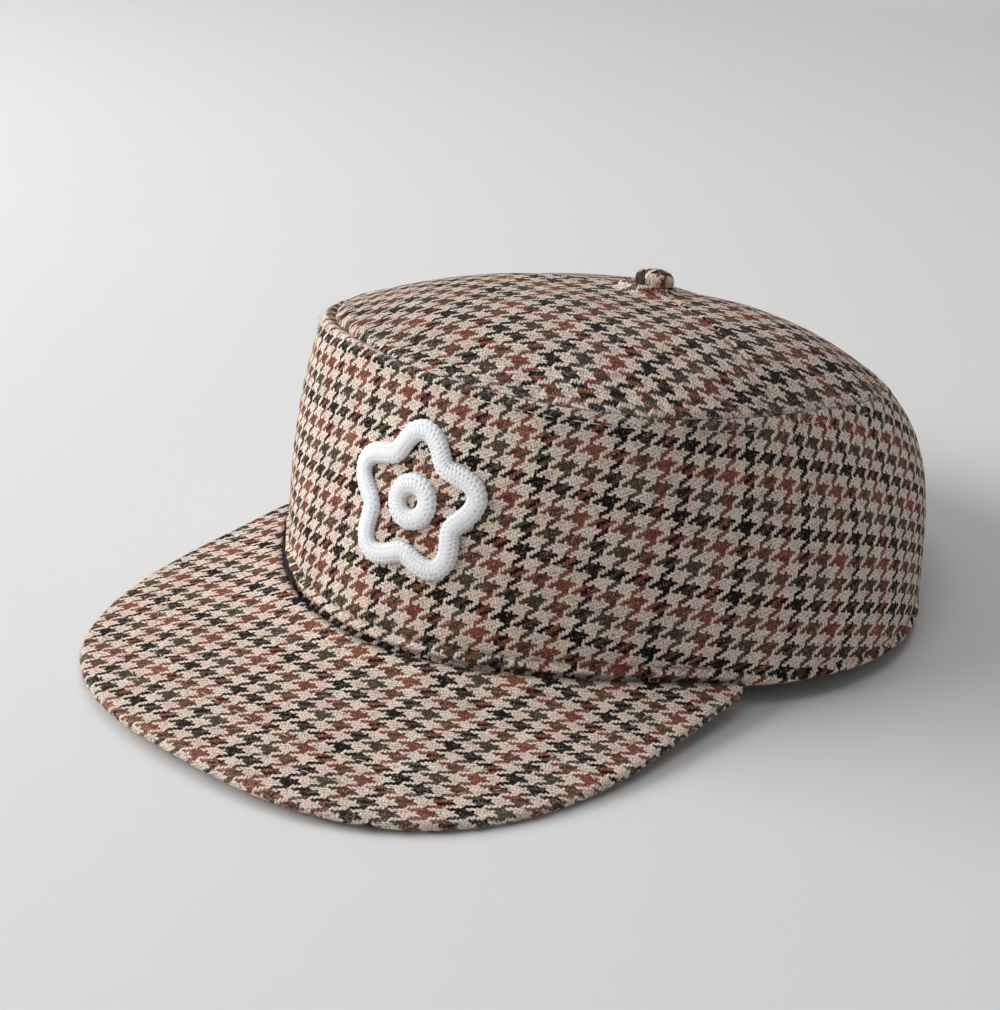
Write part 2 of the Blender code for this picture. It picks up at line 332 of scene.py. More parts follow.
class Signal:
    """A shader value that takes part in Python sums; each sum adds its Math node."""

    def __init__(self, recipe, socket):
        self.recipe = recipe
        self.socket = socket

    def sum_with(self, operation, *others):
        """The Math node's result for this value and others."""
        inputs = dict(enumerate((self, *others)))
        return self.recipe.node("ShaderNodeMath", {"operation": operation}, inputs)

    def __add__(self, other):
        return self.sum_with("ADD", other)

    __radd__ = __add__

    def __mul__(self, other):
        return self.sum_with("MULTIPLY", other)

    def __sub__(self, other):
        return self.sum_with("SUBTRACT", other)

    def __rsub__(self, other):
        return (self * -1.0) + other

    def __truediv__(self, other):
        return self.sum_with("DIVIDE", other)

    def __mod__(self, other):
        return self.sum_with("FLOORED_MODULO", other)

    def __lt__(self, other):
        return self.sum_with("LESS_THAN", other)

    def __gt__(self, other):
        return self.sum_with("GREATER_THAN", other)

    def __pow__(self, other):
        return self.sum_with("POWER", other)

    def __floor__(self):
        return self.sum_with("FLOOR")

    def choose(self, chosen, other):
        """chosen where this value is 1, and other where it is 0."""
        return self * chosen + (1.0 - self) * other

    def clamped(self, low=0.0, high=1.0):
        """This value kept between low and high."""
        return self.sum_with("MAXIMUM", low).sum_with("MINIMUM", high)


class Recipe:
    """One material's nodes."""

    def __init__(self, name):
        self.material = bpy.data.materials.new(name)
        self.material.use_nodes = True
        self.tree = self.material.node_tree
        self.shader = self.tree.nodes["Principled BSDF"]

    def node(self, kind, settings=None, inputs=None, output=0):
        """A node with its settings made first, then its inputs, as one of its outputs."""
        made = self.tree.nodes.new(kind)
        for key, value in (settings or {}).items():
            if key == "stops":
                ramp = made.color_ramp
                while len(ramp.elements) < len(value):
                    ramp.elements.new(1.0)
                for element, (place, colour) in zip(ramp.elements, value):
                    element.position = place
                    element.color = (*colour, 1.0)
            elif key == "ramp":
                made.color_ramp.interpolation = value
            else:
                setattr(made, key, value)
        for key, value in (inputs or {}).items():
            self.feed(made.inputs[key], value)
        return Signal(self, made.outputs[output])

    def feed(self, socket, value):
        """Link a signal to a socket, or set a plain value on it."""
        if isinstance(value, Signal):
            self.tree.links.new(value.socket, socket)
        elif socket.type == "RGBA" and len(value) == 3:
            socket.default_value = (*value, 1.0)
        else:
            socket.default_value = value

    def colour_mix(self, share, first, second, blend="MIX"):
        """first where share is 0 and second where it is 1."""
        return self.node("ShaderNodeMix", {"data_type": "RGBA", "blend_type": blend},
                         {0: share, 6: first, 7: second}, 2)

    def vector(self, x, y, z):
        """A vector of three values."""
        return self.node("ShaderNodeCombineXYZ", None, {0: x, 1: y, 2: z})

    def tone(self, value):
        """A grey of a value."""
        return self.node("ShaderNodeCombineColor", None, {0: value, 1: value, 2: value})

    def noise(self, size, detail=2.0, place=None):
        """Soft noise between 0 and 1 with features of a size in metres."""
        where = place or self.node("ShaderNodeTexCoord", output=3)
        return self.node("ShaderNodeTexNoise", None,
                         {"Vector": where, "Scale": 1.0 / size, "Detail": detail})

    def finish(self, **sockets):
        """Set the shader's sockets, named with _ for a space."""
        for name, value in sockets.items():
            self.feed(self.shader.inputs[name.replace("_", " ")], value)
        return self.material


# Yarn colours, linear, each in the two dye lots that the cloth mixes
BLACK_YARN = ((0.007, 0.007, 0.008), (0.021, 0.014, 0.012))
OLIVE_YARN = ((0.115, 0.093, 0.057), (0.072, 0.050, 0.036))
RUST_YARN = ((0.360, 0.125, 0.070), (0.190, 0.060, 0.046))
LIGHT_YARN = ((0.950, 0.845, 0.705), (0.880, 0.685, 0.600))
# Tone of the painted shade in the gaps between yarns.
YARN_GAP_SHADE = (0.30, 0.22, 0.17)
# Dark plain tone painted on the cloth's inner faces: painted shade inside the cap.
INSIDE_SHADE = (0.030, 0.024, 0.021)
TWIST_PITCH = 1.02
SWAY = 0.50
FRAY = 0.80


def yarn_colour(recipe, group, lot):
    """The colour of a stripe of yarns, given its number in the check, from one dye lot."""
    yarns = (BLACK_YARN, LIGHT_YARN, OLIVE_YARN, LIGHT_YARN, RUST_YARN, LIGHT_YARN)
    stops = [(place / 6.0, yarn[lot]) for place, yarn in enumerate(yarns)]
    return recipe.node("ShaderNodeValToRGB", {"ramp": "CONSTANT", "stops": stops},
                       {0: (group + 0.5) / 6.0})


def checked_cloth(name, painted_light_level=1.0):
    """Gun club check in a two-up two-down twill; the brightness factor is painted light and shade,
    which lights or shades one piece against another.
    """
    recipe = Recipe(name)
    thread = recipe.node("ShaderNodeUVMap", {"uv_map": "threads"})
    parts = recipe.node("ShaderNodeSeparateXYZ", None, {0: thread})
    sway = (recipe.noise(0.0013, 1.0) - 0.5) * SWAY
    fray = (recipe.noise(0.00050, 1.0) - 0.5) * FRAY
    u = parts + 2.0 + sway + fray
    v = Signal(recipe, parts.socket.node.outputs[1]) + 2.0 - sway + fray
    i, j = math.floor(u), math.floor(v)
    warp_side, weft_side = (u - i) * 2.0 - 1.0, (v - j) * 2.0 - 1.0
    warp_wave = ((v - i - 1.0) * (0.5 * math.pi)).sum_with("COSINE")
    weft_wave = ((u - j - 2.0) * (0.5 * math.pi)).sum_with("COSINE")
    warp_height = warp_wave * 0.5 - warp_side * warp_side * 0.4
    weft_height = weft_wave * 0.5 - weft_side * weft_side * 0.4
    warp_up = warp_height > weft_height
    height = (warp_height.sum_with("MAXIMUM", weft_height) + 0.4) * 1.1
    yarn = warp_up.choose(i, j)
    group = math.floor(yarn / 4.0) % 6.0
    is_light = (group % 2.0) > 0.5
    lot = recipe.node("ShaderNodeTexWhiteNoise", {"noise_dimensions": "2D"},
                      {"Vector": recipe.vector(yarn, warp_up, 0.0)})
    dye = recipe.noise(0.0070, 2.0)
    share = (lot * 0.55 + dye * 2.0 - 0.75).clamped()
    colour = recipe.colour_mix(share, yarn_colour(recipe, group, 0),
                               yarn_colour(recipe, group, 1))
    run = recipe.vector(warp_up.choose(u * 1.7, u * 0.5), warp_up.choose(v * 0.5, v * 1.7),
                        lot * 9.0)
    streak = recipe.node("ShaderNodeTexNoise", None, {"Vector": run, "Scale": 1.0, "Detail": 1.0})
    streak = (streak * 3.0 - 1.0).clamped()
    turn = warp_up.choose(u * 0.82 + v * 0.57, v * 0.82 - u * 0.57) / TWIST_PITCH + streak * 0.12
    ply = (turn * (2.0 * math.pi)).sum_with("COSINE") * 0.5 + 0.5
    ply = ply ** 0.65
    slub = recipe.noise(0.0030, 2.0)
    # Painted shade between the yarns: the colour darkens towards the gap tone where the yarn lies
    # low.
    gap_shade = ((1.0 - height) * 0.62).clamped()
    colour = recipe.colour_mix(gap_shade, colour,
                               recipe.colour_mix(1.0, colour, YARN_GAP_SHADE, "MULTIPLY"))
    # Painted highlights and painted shade along the yarns' twist and fibre streaks, with real
    # random tone from slub and dye lot; the brightness factor paints light or shade on the whole
    # piece.
    shade = (0.21 + ply * 0.74 + streak * 0.56 + (slub - 0.5) * 0.5 + (lot - 0.5) * 0.2) * painted_light_level
    colour = recipe.colour_mix(1.0, colour, recipe.tone(shade.clamped(0.06, 1.08)), "MULTIPLY")
    worn = recipe.node("ShaderNodeAttribute", {"attribute_name": "worn"}, None, 2)
    # Negative values give painted shade: the cloth darkens in the corner where the brim meets the
    # crown.
    crease_shade = (worn * -1.0).clamped(0.0, 0.5) * 1.5
    colour = recipe.colour_mix(1.0, colour, recipe.tone(1.0 - crease_shade), "MULTIPLY")
    hairs = (streak * ply - 0.55) * is_light.choose(0.0, 0.6)
    pale = (hairs.clamped() * (1.0 - crease_shade) + worn * streak * 0.25).clamped()
    colour = recipe.colour_mix(pale, colour, LIGHT_YARN[0])
    # Inner faces, marked below -0.5, take one dark plain tone: painted shade inside the cap.
    colour = recipe.colour_mix(worn < -0.5, colour, INSIDE_SHADE)
    relief = height * 0.6 + ply * 0.4 + streak * 0.4 + slub * 0.6
    normal = recipe.node("ShaderNodeBump", None,
                         {"Strength": 0.95, "Distance": 0.00021, "Height": relief})
    return recipe.finish(Base_Color=colour, Normal=normal, Roughness=0.92,
                         Sheen_Weight=0.03, Sheen_Roughness=0.5, Specular_IOR_Level=0.05)


def cotton_thread(name, colour, fleck_and_hole_shade):
    """Bright embroidery thread with its twist and random darker flecks; its darker tone in the
    needle holes is painted shade.
    """
    recipe = Recipe(name)
    where = recipe.node("ShaderNodeUVMap", {"uv_map": "threads"})
    ply = recipe.node("ShaderNodeTexWave", {"wave_type": "BANDS", "bands_direction": "X"},
                      {"Vector": where, "Scale": 1.1, "Distortion": 1.5, "Detail": 2.0})
    fibre = recipe.noise(0.0004, 3.0)
    hole = recipe.node("ShaderNodeAttribute", {"attribute_name": "worn"}, None, 2)
    shade = recipe.colour_mix(fibre * 0.10, colour, fleck_and_hole_shade)
    # Painted shade in the needle holes.
    shade = recipe.colour_mix((hole * 0.7).clamped(), shade, fleck_and_hole_shade)
    normal = recipe.node("ShaderNodeBump", None,
                         {"Strength": 0.35, "Distance": 0.0003, "Height": ply + fibre * 0.6})
    return recipe.finish(Base_Color=shade, Normal=normal, Roughness=0.72,
                         Sheen_Weight=0.2, Sheen_Roughness=0.5)


def band_flat(angles):
    """The band laid flat: its foot's edge and its seam, in millimetres, column by column."""
    foot, seam = strip_point(angles) * 1000.0, seam_point(angles) * 1000.0
    middle = len(angles) // 2
    flat_foot, flat_seam = np.zeros((len(angles), 2)), np.zeros((len(angles), 2))
    flat_seam[middle] = (0.0, np.linalg.norm(seam[middle] - foot[middle]))

    def third(a, b, flat_a, flat_b, c, side):
        length = np.linalg.norm(b - a)
        edge = (flat_b - flat_a) / np.linalg.norm(flat_b - flat_a)
        along = np.dot(c - a, b - a) / length
        away = math.sqrt(max(np.dot(c - a, c - a) - along * along, 0.0))
        return flat_a + edge * along + np.array((edge[1], -edge[0])) * side * away

    for side, order in ((1, range(middle, len(angles) - 1)), (-1, range(middle, 0, -1))):
        for now in order:
            then = now + side
            flat_foot[then] = third(foot[now], seam[now], flat_foot[now], flat_seam[now],
                                    foot[then], side)
            flat_seam[then] = third(flat_a=flat_foot[then], flat_b=flat_seam[now],
                                    a=foot[then], b=seam[now], c=seam[then], side=side)
    return flat_foot, flat_seam


def seam_direction(angles):
    """Outward direction of the top seam, halfway between band and top."""
    share = np.array((0.97, 0.98, 0.99))[:, None] + 0.0 * angles
    around_angles = angles + 0.0 * share
    wall = normals(band_point(around_angles, share))[1]
    top = normals(dome_point(around_angles, share[::-1]))[1]
    return unit(wall + top)


def brim_cover(angle):
    """How much of the hem the brim hides, and how far that place is on the brim, 0 to 1."""
    root = brim_root(np.clip(angle / BRIM_CORNER_ANGLE, -1.0, 1.0))
    over = BRIM_ROOT_Z - brim_drop(root) - hem_height(angle) + brim_turn_up(angle)
    edge = BRIM_CORNER_ANGLE + COVER_PAST
    on_brim = 1.0 / (1.0 + np.exp((np.abs(angle) - edge) / COVER_FADE))
    return np.maximum(over, 0.0), on_brim


def brim_turn_up(angle):
    """How far the brim's cloth turns up where it meets the crown."""
    return BRIM_TURN_UP * np.clip(1.0 - (np.abs(angle) / BRIM_CORNER_ANGLE) ** 3, 0.0, 1.0)


def groove_height(angle):
    """Height of the sewn groove above the hem's edge: it runs clear of the brim."""
    over, on_brim = brim_cover(angle)
    return GROOVE_RISE + over * on_brim


def lip_share(angle):
    """Where the band's cloth folds over on to the top as a lip: at the front right."""
    turned = np.mod(angle + math.pi, 2.0 * math.pi) - math.pi
    return 1.0 / (1.0 + np.exp((np.abs(turned - LIP_ANGLE) - LIP_HALF_ANGLE) / LIP_FADE))


def build_band(finish):
    """The crown's band with its rolled hem, sewn groove and turned top edge."""
    angles = np.linspace(-math.pi, math.pi, 721)
    angles[0] += 0.001
    angles[-1] -= 0.001
    low = np.linspace(0.0, 0.0095, 27)
    high = np.linspace(0.0, 1.0, 52)[1:]
    side = slant(angles)
    corner = HEM_STRIP + side
    reach = corner + LIP_FOLD * lip_share(angles)
    ends = 1.0 - np.linspace(SEAM_TURN, SEAM_MARGIN, 12)[:, None] / reach
    middle = low[-1] / reach + (ends[0] - low[-1] / reach) * high[:, None]
    length = np.concatenate((low[:, None] / reach, middle, ends[1:])) * reach
    share = (length - HEM_STRIP) / side
    angle = angles + 0.0 * share
    past = np.maximum(length - corner, 0.0)
    face = np.where(past[..., None] > 0.0, dome_point(angle, 1.0 - past / TOP_REACH),
                    band_point(angle, np.minimum(share, 1.0)))
    out = normals(face)
    below = reach - length
    blend = bell(length - corner, SEAM_BLEND)[..., None]
    out = unit(out * (1.0 - blend) + seam_direction(angles) * blend)
    arc = angle * MEAN_RADIUS
    groove = length - groove_height(angle)
    pucker = 0.5 + 0.5 * np.cos(2.0 * math.pi * arc / (STITCH + STITCH_GAP))
    lift = -GROOVE_DEPTH * bell(groove, GROOVE_WIDTH) * (0.65 + 0.45 * pucker)
    over, on_brim = brim_cover(angle)
    lift += HEM_ROLL * bell(groove + 0.0017, 0.0011)
    lift -= TUCK * on_brim * bell(np.maximum(length - over, 0.0), TUCK_WIDTH)
    lift -= 0.0013 * np.maximum(1.0 - length / 0.0014, 0.0) ** 2
    lift -= 0.0005 * bell(below, SEAM_ROLL)
    folded = lip_share(angle)
    lift -= folded * (0.0005 * bell(length - corner, 0.0008) + 0.0006 * bell(below, 0.0006))
    lift += 0.0004 * folded * bell(below - 0.0014, 0.0009)
    lift += 0.00012 * bell(below - 0.0020, 0.0014) * (1.0 + np.cos(arc / 0.0007))
    lift += 0.00030 * cloud(arc, length, 0.017, 1) + 0.00014 * cloud(arc, length, 0.006, 2)
    lift -= 0.0004 * bell(np.abs(angle) - math.pi, 0.007)
    outer = face + out * lift[..., None]
    inner = (face + out * (np.minimum(lift, 0.0) - CLOTH)[..., None])[::-6]
    outer[..., 2] = np.maximum(outer[..., 2], 0.0)
    inner[..., 2] = np.maximum(inner[..., 2], 0.0)
    flat_foot, flat_seam = band_flat(angles)
    flat = flat_foot * (1.0 - share[..., None]) + flat_seam * share[..., None]
    threads = weave(flat[..., 0], flat[..., 1], **BAND_WEAVE)
    worn = 0.6 * bell(length, 0.0010) + 0.4 * bell(below - 0.0012, 0.0010)
    # Inner faces get -1, which paints them dark as shade inside the cap.
    piece = loft("crown_band_cloth", np.concatenate((outer, inner)),
                 np.concatenate((threads, threads[::-6])),
                 np.concatenate((worn, worn[::-6] * 0.0 - 1.0)), finish)
    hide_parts("crown_band")
    return piece


def build_top(name, node, start, end, columns, finish, weave_fit):
    """A top panel, turned under at the band's seam and at the seam across the crown."""
    angles = np.linspace(start, end, columns)
    reach = TOP_REACH
    edge = 1.0 - np.linspace(SEAM_MARGIN, SEAM_TURN, 12) / reach
    share = np.concatenate((edge, np.linspace(edge[-1], 0.16, 46)[1:],
                            np.linspace(0.16, CENTRE_HOLE, 24)[1:]))[:, None]
    share = share * (1.0 - LIP_FOLD * lip_share(angles) * share ** 4 / reach)
    angle = angles + 0.0 * share
    trim = SEAM_GAP / (2.0 * share * reach)
    angle = start + trim + (angle - start) * (end - start - 2.0 * trim) / (end - start)
    face = dome_point(angle, share)
    out = normals(face)
    inside = (1.0 - share) * reach
    blend = bell(inside, SEAM_BLEND)[..., None]
    out = unit(out * (1.0 - blend) + seam_direction(angles) * blend)
    arc = angle * reach
    to_seam = np.minimum(angle - start, end - angle) * share * reach
    folded = lip_share(angle)
    edge_off = inside - LIP_FOLD * folded
    lift = -0.0005 * bell(edge_off, SEAM_ROLL) - 0.0004 * bell(to_seam, 0.0006)
    lift += folded * (0.0005 * bell(edge_off - 0.0030, 0.0020) - 0.0006 * bell(edge_off, 0.0008))
    from_button = share * reach - PUCKER_RADIUS
    ahead = bell(2.0 * np.sin(angle / 2.0 - 0.05), 1.1)
    aside = bell(2.0 * np.sin(angle / 2.0 + 0.60), 0.38)
    lift += 0.0010 * bell(from_button, 0.0015) * (0.85 + 0.15 * np.cos(9.0 * angle))
    lift += 0.0014 * bell(from_button, 0.0014) * ahead
    lift += 0.0008 * bell(from_button - 0.0008, 0.0022) * aside
    lift += 0.00012 * bell(edge_off - 0.0020, 0.0014) * (1.0 + np.cos(arc / 0.0006))
    lift += 0.00012 * bell(to_seam - 0.0016, 0.0012)
    plan = (face - (0.0, AXIS_Y, 0.0)) * 1000.0
    lift += 0.00035 * cloud(plan[..., 0], plan[..., 1], 15.0, 3) * (1.0 - share ** 4)
    outer = face + out * lift[..., None]
    inner = (face + out * (np.minimum(lift, 0.0) - CLOTH)[..., None])[::-6]
    threads = weave(plan[..., 0], plan[..., 1], **weave_fit)
    worn = 0.3 * bell(edge_off - 0.0012, 0.0010)
    # Inner faces get -1, which paints them dark as shade inside the cap.
    piece = loft(name, np.concatenate((outer, inner)),
                 np.concatenate((threads, threads[::-6])),
                 np.concatenate((worn, worn[::-6] * 0.0 - 1.0)), finish)
    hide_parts(node)
    return piece


def build_brim(finish):
    """The brim: cloth over a board, turned round the board's edge and sewn in rows."""
    share = np.linspace(-1.0, 1.0, 801)
    root, edge = brim_root(share), brim_edge(share)
    tangent = np.gradient(edge, axis=0)
    outward = unit(np.stack((tangent[:, 1], -tangent[:, 0], 0.0 * share), -1))
    half = BRIM_THICKNESS / 2.0
    edge = edge - outward * half
    thin = np.minimum(1.0, np.linalg.norm(edge - root, axis=-1) / BRIM_THIN_REACH)[:, None]
    plan_upper, plan_under = [], []
    across = np.linspace(0.0, 1.0, 64)
    for out in across:
        plan_upper.append(root * (1.0 - out) + edge * out)
    for out in np.linspace(0.0, 1.0, 20):
        plan_under.append(root * (1.0 - out) + edge * out)
    plan_upper, plan_under = np.array(plan_upper), np.array(plan_under)
    away = np.linalg.norm(plan_upper - edge, axis=-1)
    arc = np.concatenate(((0.0,), np.cumsum(np.linalg.norm(np.diff(edge, axis=0), axis=-1))))
    sink = 0.0 * away
    beat = 0.7 + 0.3 * np.cos(2 * math.pi * arc / 0.0028)
    for row in BRIM_ROWS:
        sink += 0.00022 * bell(away - row, 0.0007) * beat
    swell = 0.00022 * cloud(arc + 0.0 * away, away, 0.014, 5)
    lift = (swell - sink) * np.clip(away / 0.004, 0.0, 1.0)
    from_root = np.linalg.norm(plan_upper - root, axis=-1)
    lift += brim_turn_up(share * BRIM_CORNER_ANGLE) * bell(from_root, BRIM_TURN_REACH)
    upper = plan_upper.copy()
    upper[..., 2] = BRIM_ROOT_Z - brim_drop(plan_upper) + lift
    under = plan_under.copy()
    under[..., 2] = BRIM_ROOT_Z - brim_drop(plan_under) - BRIM_THICKNESS
    roll = []
    plan_roll = []
    for turn in np.linspace(-0.5 * math.pi, 0.5 * math.pi, 11)[1:-1]:
        nub = 1.0 + 0.16 * cloud(arc, turn * 0.0014 + 0.0 * arc, 0.0010, 7)[:, None]
        middle = edge + outward * half * math.cos(turn) * thin * nub
        middle[..., 2] = BRIM_ROOT_Z - brim_drop(edge) - half + half * math.sin(turn)
        roll.append(middle)
        plan_roll.append(edge + outward * half * (0.5 * math.pi - turn))
    rows = np.concatenate((under, np.array(roll), upper[::-1]))
    rows[..., 2] = np.maximum(rows[..., 2], 0.00005)
    plan = np.concatenate((plan_under, np.array(plan_roll), plan_upper[::-1]))
    plan = (plan - (0.0, AXIS_Y, 0.0)) * 1000.0
    threads = weave(plan[..., 0], plan[..., 1], **BRIM_WEAVE)
    worn = np.zeros(rows.shape[:2])
    worn[len(under) - 1:len(under) + 11] = 0.25
    # Painted shade: the brim's cloth darkens next to the crown, where the two meet.
    worn[-len(upper):] -= 0.44 * bell(from_root[::-1], ROOT_SHADE)
    piece = loft("brim_cloth", rows, threads, worn, finish)
    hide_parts("brim")
    return piece


def button_frame():
    """Where the button sits and how it leans."""
    front = dome_point(np.array(0.0), np.array(BUTTON_RADIUS / SEAM["front"]))
    back = dome_point(np.array(math.pi), np.array(BUTTON_RADIUS / SEAM["back"]))
    lean = math.atan2(front[2] - back[2], back[1] - front[1])
    seat = dome_point(np.array(0.0), np.array(0.0)) + (0.0, 0.0, BUTTON_SEAT)
    return Matrix.Translation(seat.tolist()) @ Matrix.Rotation(-lean, 4, "X")


def build_button(finish):
    """The covered button: cloth pulled over a shell, gathered where it goes under."""
    turns = np.linspace(0.0, 2.0 * math.pi, 97)[:-1]
    rows = []
    profile = [(0.0004, 0.0), (0.85, 0.0), (0.95, 0.04), (1.0, 0.16), (1.005, 0.28)]
    profile += [(math.cos(t) ** 0.64, 0.30 + 0.70 * math.sin(t))
                for t in np.linspace(0.0, 0.5 * math.pi, 16)[1:-1]]
    profile += [(0.0004, 1.0)]
    for reach, height in profile:
        fold = 1.0 - 0.035 * np.cos(11.0 * turns + 0.6 * np.sin(3.0 * turns)) * (1.0 - height) ** 2
        radius = BUTTON_RADIUS * reach * (fold if reach > 0.5 else 1.0 + 0.0 * turns)
        rows.append(np.stack((radius * np.cos(turns), radius * np.sin(turns),
                              BUTTON_HEIGHT * height + 0.0 * turns), -1))
    rows = np.array(rows)
    wrap = np.concatenate((rows, rows[:, :1]), 1)
    grain = np.array(((0.754, -0.656), (0.656, 0.754))) / (THREAD_ACROSS * 0.001)
    threads = wrap[..., :2] @ -grain + (-6.3, -3.5)
    place = button_frame()
    shape = np.array([[list(place @ Vector(point)) for point in row] for row in rows.tolist()])
    piece = loft("button_cover", shape, threads, np.zeros(rows.shape[:2]) + 0.15, finish, True)
    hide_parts("top_button")


def flower_point(across, up):
    """Point of the band's face and its direction; across and up run along the cloth."""
    length = slant(np.array(0.0))
    share = (FLOWER_RISE - HEM_STRIP + up) / length
    radius = np.linalg.norm((band_point(0.0 * share, share) - (0.0, AXIS_Y, 0.0))[..., :2],
                            axis=-1)
    angle = (FLOWER_SIDE + across) / radius
    step = 0.01
    point = band_point(angle, share)
    along = band_point(angle + step, share) - band_point(angle - step, share)
    rise = band_point(angle, share + step) - band_point(angle, share - step)
    return point, unit(np.cross(along, rise))


def build_strand(name, node, radius, wave, finish):
    """A closed raised strand of chain stitch that follows a waved circle."""
    steps = int(round(2.0 * math.pi * radius / 0.00015))
    turns = np.linspace(0.0, 2.0 * math.pi, steps + 1)
    reach = radius + wave * np.cos(FLOWER_PETALS * turns)
    centre = np.stack((reach * np.sin(turns), reach * np.cos(turns)), -1)
    ahead = np.gradient(centre, axis=0)
    ahead[0] = ahead[-1] = centre[1] - centre[-2]
    outward = unit(np.stack((-ahead[:, 1], ahead[:, 0]), -1))
    arc = np.concatenate(((0.0,), np.cumsum(np.linalg.norm(np.diff(centre, axis=0), axis=-1))))
    loops = round(arc[-1] / LOOP)
    beat = arc / arc[-1] * loops
    rows, holes, places = [], [], []
    for turn in np.linspace(-0.08, math.pi + 0.08, 35):
        width = -math.cos(turn)
        notch = 0.045 * np.cos(2.0 * math.pi * (beat + 0.25 * math.copysign(1.0, width)))
        across = width * STRAND_WIDTH / 2.0 * (1.0 + notch * abs(width) ** 3)
        height = STRAND_RISE * max(math.sin(turn), 0.0) ** 0.62
        hole = 0.0 * beat
        for line, phase in ((-0.46, 0.0), (0.46, 0.5), (-0.84, 0.5), (0.84, 0.0)):
            near = bell((width - line) * STRAND_WIDTH / 2.0, 0.00023)
            hole = hole + near * bell(((beat + phase) % 1.0 - 0.5) * LOOP, 0.00021)
        spot = centre + outward * across[:, None]
        point, out = flower_point(spot[:, 0], spot[:, 1])
        ridge = 0.00005 * np.cos(2.0 * math.pi * (beat + 1.3 * abs(width)))
        lift = CLEARANCE + height - 0.00026 * hole + ridge * math.sin(max(turn, 0.0))
        rows.append(point + out * lift[:, None])
        holes.append(hole)
        places.append(np.stack((arc * 1000.0, across * 1000.0), -1))
    rows, holes, places = np.array(rows), np.array(holes), np.array(places)
    # The needle holes dent the strand, and its finish paints shade into them.
    piece = loft(name, rows[:, :-1], places, holes[:, :-1], finish, True)
    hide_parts(node)


def add_threads(name, verts, faces, finish):
    """A piece of loose solids of thread."""
    mesh = bpy.data.meshes.new(name)
    mesh.from_pydata(verts, [], faces)
    mesh.uv_layers.new(name="threads")
    mesh.attributes.new("worn", "FLOAT", "POINT")
    mesh.shade_smooth()
    mesh.materials.append(finish)
    add_piece(name, mesh)


def sew(name, path, out, finish, thick, sink, stitch=STITCH, gap=STITCH_GAP):
    """A row of stitches along a path of points on cloth with its outward directions."""
    steps = np.linalg.norm(np.diff(path, axis=0), axis=-1)
    arc = np.concatenate(((0.0,), np.cumsum(steps)))
    count = int(arc[-1] / (stitch + gap))
    rings, sides = 7, 6
    turn = np.linspace(0.0, 2.0 * math.pi, sides, endpoint=False)
    verts, faces, places = [], [], []
    for number in range(count):
        begin = number * (stitch + gap) + gap / 2.0
        at = begin + np.linspace(0.0, 1.0, rings) * stitch
        point = np.stack([np.interp(at, arc, path[:, axis]) for axis in range(3)], -1)
        up = unit(np.stack([np.interp(at, arc, out[:, axis]) for axis in range(3)], -1))
        along = unit(np.gradient(point, axis=0))
        side = np.cross(along, up)
        bow = np.sin(np.linspace(0.0, math.pi, rings))
        radius = thick * (0.35 + 0.65 * bow ** 0.4)
        centre = point + up * (bow * thick * 1.1 - sink)[:, None]
        for ring in range(rings):
            for angle in turn:
                verts.append(centre[ring] + radius[ring] * (side[ring] * math.cos(angle)
                                                            + up[ring] * math.sin(angle)))
        base = number * rings * sides
        for ring in range(rings - 1):
            for k in range(sides):
                a, b = base + ring * sides + k, base + ring * sides + (k + 1) % sides
                faces.append((a, b, b + sides, a + sides))
        faces.append(tuple(base + k for k in reversed(range(sides))))
        faces.append(tuple(base + (rings - 1) * sides + k for k in range(sides)))
    add_threads(name, np.array(verts).tolist(), faces, finish)


def band_row(angle, length):
    """A row on the band at a length above its foot, with its outward directions."""
    share = length / slant(angle)
    near = np.stack((share - 0.01, share, share + 0.01))
    face = band_point(angle + 0.0 * near, near)
    return face[1], normals(face)[1]


def hem_stitches(finish):
    """Stitches in the groove round the foot of the crown."""
    angle = np.linspace(-math.pi + 0.02, math.pi - 0.02, 1500)
    path, out = band_row(angle, groove_height(angle) - HEM_STRIP)
    sew("hem_stitches", path, out, finish, thick=0.00018, sink=GROOVE_DEPTH)


def seam_stitches(finish):
    """A fine row of topstitching on the band, just below the top seam."""
    angle = np.linspace(-math.pi + 0.02, math.pi - 0.02, 1500)
    path, out = band_row(angle, slant(angle) - 0.0030)
    sew("seam_stitches", path + out * 0.00016, out, finish, thick=0.00016,
        stitch=0.0026, gap=0.0013, sink=0.00004)


def panel_stitches(finish):
    """A fine row of topstitching beside each half of the seam across the top."""
    share = np.linspace(0.16, 0.97, 400)
    rows = []
    for side in (-1.0, 1.0):
        angle = side * (TOP_SEAM_ANGLE - 0.0014 / (share * TOP_REACH))
        near = np.stack((angle - 0.01, angle, angle + 0.01))
        face = dome_point(near, share + 0.0 * near)
        out = unit(np.cross(np.gradient(face, axis=0), np.gradient(face, axis=1)))[1]
        rows.append((face[1] + out * 0.00014, out))
    for name, (path, out) in zip(("panel_stitches_right", "panel_stitches_left"), rows):
        sew(name, path, out, finish, thick=0.00014, stitch=FINE_STITCH,
            gap=0.0016, sink=0.00004)


def brim_stitches(finish):
    """Fine rows of topstitching that follow the brim's edge."""
    share = np.linspace(-0.9, 0.9, 1200)
    root, edge = brim_root(share), brim_edge(share)
    reach = np.linalg.norm(edge - root, axis=-1)[:, None]
    for number, row in enumerate(BRIM_ROWS[:2]):
        path = edge + (root - edge) * np.clip((row + 0.0012) / reach, 0.0, 0.8)
        path[:, 2] = BRIM_ROOT_Z - brim_drop(path)
        out = np.zeros_like(path)
        out[:, 2] = 1.0
        sew("brim_stitches_%d" % number, path, out, finish, thick=0.00014,
            stitch=FINE_STITCH, gap=0.0018, sink=0.00018)


